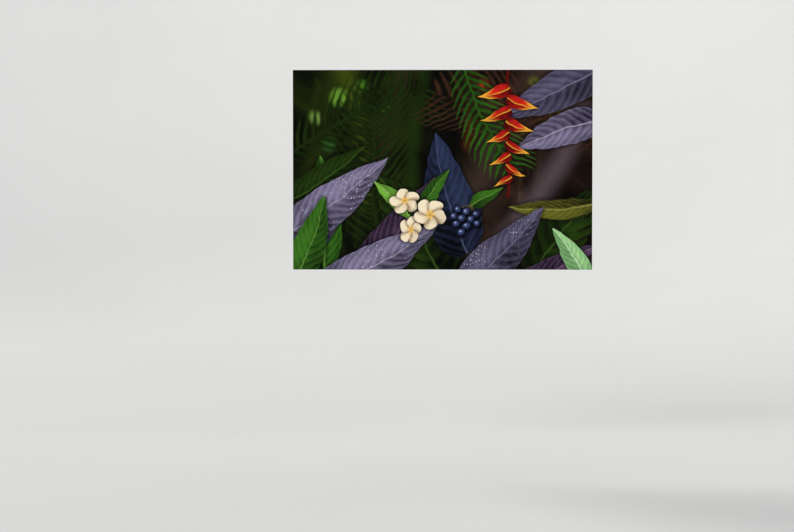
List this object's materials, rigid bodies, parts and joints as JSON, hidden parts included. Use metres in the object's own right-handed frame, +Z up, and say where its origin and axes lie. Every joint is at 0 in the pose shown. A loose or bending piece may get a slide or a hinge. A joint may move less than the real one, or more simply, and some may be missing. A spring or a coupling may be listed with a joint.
{
  "type": "stretched canvas print",
  "caption": "Frameless wall picture: printed cloth wrapped round a braced pine stretcher frame, with corner keys, rubber bumpers and D-ring strap hangers on the back.",
  "frame": {"origin": "centre of the whole object's box, half way between the print's face and the bumpers' tips", "axes": "+X to the right of a person who looks at the print, +Y out of the back towards the wall, +Z up"},
  "size_m": [1.5, 0.0424, 1],
  "materials": {
    "printed_canvas": "satin print on woven canvas: dark green and brown foliage, lavender grey leaves, small red, yellow and navy accents",
    "pine": "planed and unfinished, with grain and a few knots",
    "beech": "sawn and unfinished",
    "zinc_plated_steel": "bright zinc plate, slightly worn",
    "black_rubber": "matt"
  },
  "bodies": {
    "root": {"canvas": "printed_canvas", "stretcher_bar_top": "pine", "stretcher_bar_right": "pine", "stretcher_bar_bottom": "pine", "stretcher_bar_left": "pine", "brace_horizontal": "pine", "brace_vertical": "pine", "key_top_left_level": "beech", "key_top_left_upright": "beech", "key_top_right_level": "beech", "key_top_right_upright": "beech", "key_bottom_left_level": "beech", "key_bottom_left_upright": "beech", "key_bottom_right_level": "beech", "key_bottom_right_upright": "beech", "hanger_strap_left": "zinc_plated_steel", "hanger_strap_right": "zinc_plated_steel", "hanger_ring_left": "zinc_plated_steel", "hanger_ring_right": "zinc_plated_steel", "screw_left_upper": "zinc_plated_steel", "screw_left_lower": "zinc_plated_steel", "screw_right_upper": "zinc_plated_steel", "screw_right_lower": "zinc_plated_steel", "bumper_left": "black_rubber", "bumper_right": "black_rubber"}
  },
  "joints": []
}
